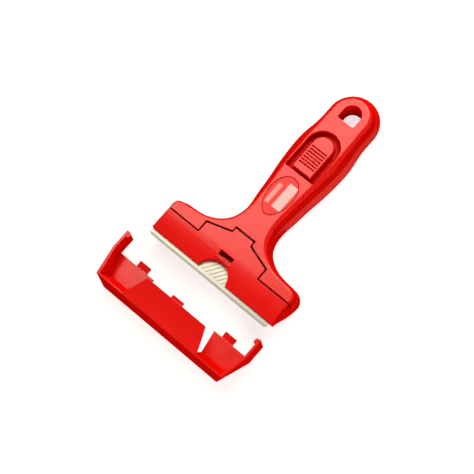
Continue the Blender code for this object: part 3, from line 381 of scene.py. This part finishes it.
def mark_folds(piece, least, most):
    """Keeps the shallow folds between flat faces crisp: edges whose faces meet between two angles."""
    select_edges(piece, lambda edge: least < math.degrees(edge.calc_face_angle(0.0)) < most)
    bpy.ops.mesh.mark_sharp()
    bpy.ops.object.mode_set(mode="OBJECT")


def bevel_edges(piece, radius, method, clamp):
    """Rounds the edges that the method picks, each with the same radius."""
    bevel = piece.modifiers.new("moulded_edges", "BEVEL")
    bevel.width = radius
    bevel.segments = BEVEL_SEGMENTS
    bevel.limit_method = method
    bevel.angle_limit = math.radians(BEVEL_ANGLE)
    bevel.use_clamp_overlap = clamp
    bpy.ops.object.modifier_apply(modifier=bevel.name)


def round_roomy_edges(piece, radius):
    """Bevels the sharp edges that have room, then merges the points that this brings together."""

    def has_room(edge):
        sharp = math.degrees(edge.calc_face_angle(0.0)) > BEVEL_ANGLE
        beside = [other.calc_length() for end in edge.verts for other in end.link_edges]
        return sharp and min(beside) > ROOM_FACTOR * radius

    select_edges(piece, has_room)
    bpy.ops.transform.edge_bevelweight(value=1.0)
    bpy.ops.object.mode_set(mode="OBJECT")
    bevel_edges(piece, radius, "WEIGHT", False)
    bpy.ops.object.mode_set(mode="EDIT")
    bpy.ops.mesh.select_mode(type="VERT")
    bpy.ops.mesh.select_all(action="SELECT")
    bpy.ops.mesh.remove_doubles(threshold=CLOSE_POINTS)
    bpy.ops.mesh.quads_convert_to_tris()
    bpy.ops.object.mode_set(mode="OBJECT")


def rounded(node, name, body, material, radius, flats=True, folds=None):
    """A piece with the CAD node's form: the mesh copied and merged. With flats, it is freed of the lines
    across them and only edges with room are rounded, otherwise all sharp ones. No radius, no rounding."""
    bpy.ops.object.select_all(action="DESELECT")
    piece = NODES[node].copy()
    piece.data = NODES[node].data.copy()
    piece.name = name
    bpy.context.scene.collection.objects.link(piece)
    piece.parent = None
    piece.matrix_world = Matrix.Identity(4)
    piece.select_set(True)
    bpy.context.view_layer.objects.active = piece
    bpy.ops.object.mode_set(mode="EDIT")
    bpy.ops.mesh.select_all(action="SELECT")
    bpy.ops.mesh.remove_doubles(threshold=MERGE_DISTANCE)
    bpy.ops.mesh.customdata_custom_splitnormals_clear()
    if flats:
        bpy.ops.mesh.dissolve_limited(angle_limit=math.radians(FLAT_ANGLE))
    bpy.ops.mesh.normals_make_consistent(inside=False)
    bpy.ops.object.mode_set(mode="OBJECT")
    if folds:
        mark_folds(piece, *folds)
    if radius and flats:
        round_roomy_edges(piece, radius)
    elif radius:
        bevel_edges(piece, radius, "ANGLE", True)
    bpy.ops.object.shade_smooth_by_angle(angle=math.radians(SMOOTH_ANGLE))
    even = piece.modifiers.new("flat_faces_stay_flat", "WEIGHTED_NORMAL")
    even.keep_sharp = True
    bpy.ops.object.modifier_apply(modifier=even.name)
    piece.data.materials.clear()
    piece.data.materials.append(material)
    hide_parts(node)
    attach(piece, body)


def stop_if_missing(*names):
    """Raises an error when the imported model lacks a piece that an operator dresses."""
    missing = [name for name in names if name not in NODES]
    if missing:
        raise RuntimeError(f"the packed model has no {', '.join(missing)}")


class SCRAPER_OT_shells(bpy.types.Operator):
    """Finishes both halves of the handle and the clamp plate"""

    bl_idname = "scraper.shells"
    bl_label = "Handle shells and clamp plate"

    def execute(self, context):
        stop_if_missing("handle_upper_shell", "handle_lower_shell", "clamp_plate")
        finish = context.scene.scraper_finish
        grain = finish.texture_grain
        plastic = moulded_plastic(
            "red_abs_satin_moulded", finish, finish.roughness, grain, DEEP_PAINTED_SHADE
        )
        radius = finish.edge_radius
        rounded("handle_upper_shell", "upper_shell_moulded", "handle", plastic, NO_BEVEL)
        rounded("handle_lower_shell", "lower_shell_moulded", "handle", plastic, radius)
        rounded("clamp_plate", "clamp_plate_moulded", "clamp", plastic, radius)
        return {"FINISHED"}


class SCRAPER_OT_button(bpy.types.Operator):
    """Finishes the thumb slide"""

    bl_idname = "scraper.button"
    bl_label = "Lock button"

    def execute(self, context):
        stop_if_missing("lock_button")
        finish = context.scene.scraper_finish
        grain = finish.texture_grain
        plastic = moulded_plastic(
            "red_abs_button_moulded", finish, finish.roughness, grain, FAINT_PAINTED_SHADE
        )
        radius = finish.edge_radius
        rounded("lock_button", "lock_button_moulded", "lock", plastic, radius, flats=False)
        return {"FINISHED"}


class SCRAPER_OT_guard(bpy.types.Operator):
    """Finishes the blade guard"""

    bl_idname = "scraper.guard"
    bl_label = "Blade guard"

    def execute(self, context):
        stop_if_missing("blade_guard")
        finish = context.scene.scraper_finish
        grain = finish.texture_grain * GUARD_GRAIN_FACTOR
        plastic = moulded_plastic(
            "red_polypropylene_moulded", finish, finish.roughness, grain, FAINT_PAINTED_SHADE
        )
        radius = finish.edge_radius
        rounded(
            "blade_guard", "blade_guard_moulded", "guard", plastic, radius, folds=GUARD_FOLDS
        )
        return {"FINISHED"}


def blade_steel(finish):
    """Cold-rolled carbon steel, ground to an edge: a pale warm metal with fine lines along the rolling
    direction, a greyer ground bevel, and slanting scored lines where the thumb pushes it."""
    material, tree, shader = new_material(
        "carbon_steel_rolled_and_ground", {"Metallic": 1.0, "Anisotropic": 0.3}
    )
    place = add_node(tree, "ShaderNodeTexCoord").outputs["Object"]
    along = add_node(
        tree, "ShaderNodeMapping",
        {"Scale": (1 / ROLLED_LENGTH, 1 / ROLLED_WIDTH, 1 / ROLLED_LENGTH)}, {"Vector": place},
    )
    rolled = add_node(tree, "ShaderNodeTexNoise", {"Scale": 1.0, "Detail": 4.0}, {"Vector": along.outputs[0]})
    axes = add_node(tree, "ShaderNodeSeparateXYZ", None, {"Vector": place})
    bevel = add_node(
        tree, "ShaderNodeMapRange",
        {"From Min": EDGE_Y + BEVEL_START, "From Max": EDGE_Y + BEVEL_END, "To Min": 1.0, "To Max": 0.0},
        {"Value": axes.outputs["Y"]},
    )
    turned = add_node(
        tree, "ShaderNodeMapping",
        {"vector_type": "TEXTURE", "Rotation": (0.0, 0.0, math.radians(SCORE_ANGLE))}, {"Vector": place},
    )
    lines = add_node(
        tree, "ShaderNodeTexWave",
        {
            "wave_type": "BANDS", "bands_direction": "Y",
            "Scale": 2 * math.pi / (WAVE_REPEATS * SCORE_PITCH),
        },
        {"Vector": turned.outputs[0]},
    )
    scored = add_node(
        tree, "ShaderNodeMapRange",
        {"From Min": SCORE_FROM, "From Max": SCORE_TO, "To Min": 0.0, "To Max": SCORE_COVER},
        {"Value": lines.outputs["Fac"]},
    )
    left = add_node(
        tree, "ShaderNodeMath", {"operation": "ABSOLUTE"}, {0: axes.outputs["X"]}
    )
    inside = add_node(
        tree, "ShaderNodeMath", {"operation": "LESS_THAN", 1: SCORED_HALF_WIDTH}, {0: left.outputs[0]}
    )
    behind = add_node(
        tree, "ShaderNodeMath", {"operation": "GREATER_THAN", 1: EDGE_Y + SCORED_START},
        {0: axes.outputs["Y"]},
    )
    where = add_node(
        tree, "ShaderNodeMath", {"operation": "MULTIPLY"}, {0: inside.outputs[0], 1: behind.outputs[0]}
    )
    marks = add_node(
        tree, "ShaderNodeMath", {"operation": "MULTIPLY"}, {0: where.outputs[0], 1: scored.outputs["Result"]}
    )
    flat = add_node(
        tree, "ShaderNodeMix",
        {"data_type": "RGBA", 6: rgba(finish.steel), 7: rgba(hex_linear(BLADE_DULL))},
        {0: rolled.outputs["Fac"]},
    )
    ground = add_node(
        tree, "ShaderNodeMix", {"data_type": "RGBA", 7: rgba(hex_linear(BEVEL_PALE))},
        {0: bevel.outputs["Result"], 6: flat.outputs[2]},
    )
    score = add_node(
        tree, "ShaderNodeMix", {"data_type": "RGBA", 7: rgba(hex_linear(SCORE_DARK))},
        {0: marks.outputs[0], 6: ground.outputs[2]},
    )
    tree.links.new(score.outputs[2], shader.inputs["Base Color"])
    gloss = add_node(
        tree, "ShaderNodeMapRange", {"To Min": BLADE_ROUGHNESS, "To Max": BEVEL_ROUGHNESS},
        {"Value": bevel.outputs["Result"]},
    )
    tree.links.new(gloss.outputs["Result"], shader.inputs["Roughness"])
    bump = add_node(
        tree, "ShaderNodeBump", {"Strength": ROLLED_STRENGTH, "Distance": ROLLED_DEPTH},
        {"Height": rolled.outputs["Fac"]},
    )
    tree.links.new(bump.outputs["Normal"], shader.inputs["Normal"])
    return material


class SCRAPER_OT_blade(bpy.types.Operator):
    """Finishes the steel blade"""

    bl_idname = "scraper.blade"
    bl_label = "Blade"

    def execute(self, context):
        stop_if_missing("blade")
        dress("blade", blade_steel(context.scene.scraper_finish))
        return {"FINISHED"}


def block_mask(tree, axes, block):
    """A soft-edged rectangle of ink."""
    x, y, half_x, half_y, cover = block
    sides = []
    for axis, centre, half in (("X", x, half_x), ("Y", y, half_y)):
        offset = add_node(
            tree, "ShaderNodeMath", {"operation": "SUBTRACT", 1: centre}, {0: axes.outputs[axis]}
        )
        size = add_node(tree, "ShaderNodeMath", {"operation": "ABSOLUTE"}, {0: offset.outputs[0]})
        sides.append(
            add_node(
                tree, "ShaderNodeMapRange",
                {
                    "From Min": half - PRINT_BLUR, "From Max": half + PRINT_BLUR,
                    "To Min": cover, "To Max": 0.0,
                },
                {"Value": size.outputs[0]},
            )
        )
    return add_node(
        tree, "ShaderNodeMath", {"operation": "MINIMUM"},
        {0: sides[0].outputs["Result"], 1: sides[1].outputs["Result"]},
    )


def label_film(finish):
    """Printed polypropylene film: red like the handle, with two blank pale blocks that have slightly
    soft printed edges."""
    material, tree, shader = new_material(
        "printed_label_film", {"Metallic": 0.0, "IOR": LABEL_IOR, "Roughness": LABEL_ROUGHNESS}
    )
    place = add_node(tree, "ShaderNodeTexCoord").outputs["Object"]
    axes = add_node(tree, "ShaderNodeSeparateXYZ", None, {"Vector": place})
    blocks = [block_mask(tree, axes, block) for block in LABEL_BLOCKS]
    block = add_node(
        tree, "ShaderNodeMath", {"operation": "MAXIMUM"},
        {0: blocks[0].outputs[0], 1: blocks[1].outputs[0]},
    )
    ink = add_node(
        tree, "ShaderNodeTexNoise", {"Scale": 1 / INK_PATCH, "Detail": 3.0}, {"Vector": place}
    )
    cover = add_node(
        tree, "ShaderNodeMapRange",
        {"From Min": INK_FROM, "From Max": INK_TO, "To Min": INK_THIN, "To Max": INK_FULL},
        {"Value": ink.outputs["Fac"]},
    )
    printed = add_node(
        tree, "ShaderNodeMath", {"operation": "MULTIPLY"},
        {0: block.outputs[0], 1: cover.outputs["Result"]},
    )
    colour = add_node(
        tree, "ShaderNodeMix",
        {"data_type": "RGBA", 6: rgba(finish.red), 7: rgba(finish.print_block)},
        {0: printed.outputs[0]},
    )
    tree.links.new(colour.outputs[2], shader.inputs["Base Color"])
    return material


class SCRAPER_OT_label(bpy.types.Operator):
    """Finishes the blank label in the oval recess"""

    bl_idname = "scraper.label"
    bl_label = "Label"

    def execute(self, context):
        stop_if_missing("handle_label")
        dress("handle_label", label_film(context.scene.scraper_finish))
        return {"FINISHED"}


def drawn_steel(name, code, roughness):
    """Drawn wire and rod: a grey metal with fine lines left by the die."""
    material, tree, shader = new_material(name, {"Metallic": 1.0, "Base Color": rgba(hex_linear(code))})
    place = add_node(tree, "ShaderNodeTexCoord").outputs["Object"]
    noise = add_node(
        tree, "ShaderNodeTexNoise", {"Scale": 1 / DIE_LINE_SIZE, "Detail": 3.0}, {"Vector": place}
    )
    gloss = add_node(
        tree, "ShaderNodeMapRange",
        {"To Min": roughness - DIE_LINE_SPREAD, "To Max": roughness + DIE_LINE_SPREAD},
        {"Value": noise.outputs["Fac"]},
    )
    tree.links.new(gloss.outputs["Result"], shader.inputs["Roughness"])
    return material


def natural_acetal():
    """Moulded acetal without dye: a waxy off-white with a soft sheen."""
    material, tree, shader = new_material(
        "natural_acetal_moulded", {"IOR": ACETAL_IOR, "Base Color": rgba(hex_linear(ACETAL_WHITE))}
    )
    place = add_node(tree, "ShaderNodeTexCoord").outputs["Object"]
    noise = add_node(
        tree, "ShaderNodeTexNoise", {"Scale": 1 / ACETAL_PATCH, "Detail": 3.0}, {"Vector": place}
    )
    gloss = add_node(
        tree, "ShaderNodeMapRange", {"To Min": ACETAL_SMOOTH, "To Max": ACETAL_DULL},
        {"Value": noise.outputs["Fac"]},
    )
    tree.links.new(gloss.outputs["Result"], shader.inputs["Roughness"])
    return material


class SCRAPER_OT_inner_works(bpy.types.Operator):
    """Finishes the hinge pin, the springs and the lock bar"""

    bl_idname = "scraper.inner_works"
    bl_label = "Pin, springs and lock bar"

    def execute(self, context):
        stop_if_missing("clamp_hinge_pin", "detent_spring", "clamp_lift_spring", "lock_bar")
        dress("clamp_hinge_pin", drawn_steel("drawn_steel_rod", ROD_GREY, ROD_ROUGHNESS))
        spring = drawn_steel("spring_steel_hardened", SPRING_GREY, SPRING_ROUGHNESS)
        dress("detent_spring", spring)
        dress("clamp_lift_spring", spring)
        dress("lock_bar", natural_acetal())
        return {"FINISHED"}


def floor_material():
    """A matt white board: the object's shadow falls on it, and the camera, glossy and transmission rays
    see it a little brighter, so that it reads as a white background."""
    material = bpy.data.materials.new("matt_white_board")
    material.use_nodes = True
    tree = material.node_tree
    tree.nodes.clear()
    path = add_node(tree, "ShaderNodeLightPath")
    glossy = add_node(
        tree, "ShaderNodeMath", {"operation": "MAXIMUM"},
        {0: path.outputs["Is Camera Ray"], 1: path.outputs["Is Glossy Ray"]},
    )
    seen = add_node(
        tree, "ShaderNodeMath", {"operation": "MAXIMUM"},
        {0: glossy.outputs[0], 1: path.outputs["Is Transmission Ray"]},
    )
    lift = add_node(
        tree, "ShaderNodeMath", {"operation": "MULTIPLY", 1: FLOOR_LIFT}, {0: seen.outputs[0]}
    )
    board = add_node(tree, "ShaderNodeBsdfDiffuse", {"Color": rgba(hex_linear(FLOOR_GREY))})
    glow = add_node(
        tree, "ShaderNodeEmission", {"Color": WHITE}, {"Strength": lift.outputs[0]}
    )
    both = add_node(tree, "ShaderNodeAddShader", None, {0: board.outputs[0], 1: glow.outputs[0]})
    add_node(tree, "ShaderNodeOutputMaterial", None, {"Surface": both.outputs[0]})
    return material


def softbox(name, way, size, power, target):
    """A square, slightly warm lamp that shines on the object from a given way."""
    lamp = bpy.data.lights.new(name, "AREA")
    lamp.color = LAMP_COLOUR
    lamp.shape = "SQUARE"
    lamp.size = size
    lamp.energy = power
    box = bpy.data.objects.new(name, lamp)
    bpy.context.scene.collection.objects.link(box)
    box.location = target + way * LAMP_DISTANCE
    box.rotation_euler = way.to_track_quat("Z", "Y").to_euler()


def view_axes(azimuth, elevation):
    """Right, up and back of a camera with no roll."""
    level = math.cos(elevation)
    back = Vector((math.sin(azimuth) * level, -math.cos(azimuth) * level, math.sin(elevation)))
    right = Vector((math.cos(azimuth), math.sin(azimuth), 0.0))
    return right, back.cross(right), back


class SCRAPER_OT_stage(bpy.types.Operator):
    """Sets the floor, the lamps, the white room and the camera"""

    bl_idname = "scraper.stage"
    bl_label = "Stage"

    def execute(self, context):
        scene = context.scene
        stage = scene.scraper_stage
        bpy.ops.object.select_all(action="DESELECT")
        bpy.ops.mesh.primitive_plane_add(size=FLOOR_SIZE, location=(0.0, 0.0, 0.0))
        floor = context.object
        floor.name = "floor"
        floor.data.materials.append(floor_material())
        right, up, back = view_axes(stage.azimuth, stage.elevation)
        camera = bpy.data.objects.new("camera", bpy.data.cameras.new("camera"))
        scene.collection.objects.link(camera)
        turn = Matrix.Rotation(-stage.roll, 3, back)
        axes = Matrix((turn @ right, turn @ up, back)).transposed()
        target = Vector(stage.target)
        camera.matrix_world = Matrix.Translation(target + back * stage.distance) @ axes.to_4x4()
        camera.data.lens = stage.lens
        camera.data.sensor_width = SENSOR_WIDTH
        camera.data.clip_start = CLIP_START
        scene.camera = camera
        softbox("overhead_softbox", OVERHEAD_WAY, OVERHEAD_SIZE, stage.sheen_power, target)
        softbox("side_softbox", SIDE_WAY, SIDE_SIZE, stage.side_power, target)
        softbox("fill_softbox", FILL_WAY, FILL_SIZE, stage.fill_power, target)
        world = bpy.data.worlds.new("white_room")
        world.use_nodes = True
        sky = world.node_tree.nodes["Background"]
        sky.inputs["Color"].default_value = WHITE
        sky.inputs["Strength"].default_value = stage.ambient
        scene.world = world
        scene.view_settings.view_transform = "Standard"
        return {"FINISHED"}


PIECE_OPERATORS = (
    SCRAPER_OT_shells,
    SCRAPER_OT_button,
    SCRAPER_OT_guard,
    SCRAPER_OT_blade,
    SCRAPER_OT_label,
    SCRAPER_OT_inner_works,
    SCRAPER_OT_stage,
)


class SCRAPER_PT_panel(bpy.types.Panel):
    """Lists the scraper's finishes and the steps that apply them"""

    bl_idname = "SCRAPER_PT_panel"
    bl_label = "Blade scraper"
    bl_space_type = "VIEW_3D"
    bl_region_type = "UI"
    bl_category = "Scraper"

    def draw(self, context):
        layout = self.layout
        for group in (context.scene.scraper_finish, context.scene.scraper_stage):
            for key in group.__annotations__:
                layout.prop(group, key)
        for operator in PIECE_OPERATORS:
            layout.operator(operator.bl_idname)


CLASSES = (ScraperFinish, ScraperStage, *PIECE_OPERATORS, SCRAPER_PT_panel)


def register():
    """Adds the classes and their settings to Blender."""
    for cls in CLASSES:
        bpy.utils.register_class(cls)
    bpy.types.Scene.scraper_finish = bpy.props.PointerProperty(type=ScraperFinish)
    bpy.types.Scene.scraper_stage = bpy.props.PointerProperty(type=ScraperStage)


def unregister():
    """Takes the classes and their settings out of Blender."""
    del bpy.types.Scene.scraper_stage
    del bpy.types.Scene.scraper_finish
    for cls in reversed(CLASSES):
        bpy.utils.unregister_class(cls)


def main():
    """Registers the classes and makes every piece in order."""
    register()
    bpy.ops.scraper.shells()
    bpy.ops.scraper.button()
    bpy.ops.scraper.guard()
    bpy.ops.scraper.blade()
    bpy.ops.scraper.label()
    bpy.ops.scraper.inner_works()
    bpy.ops.scraper.stage()


if __name__ == "__main__":
    main()
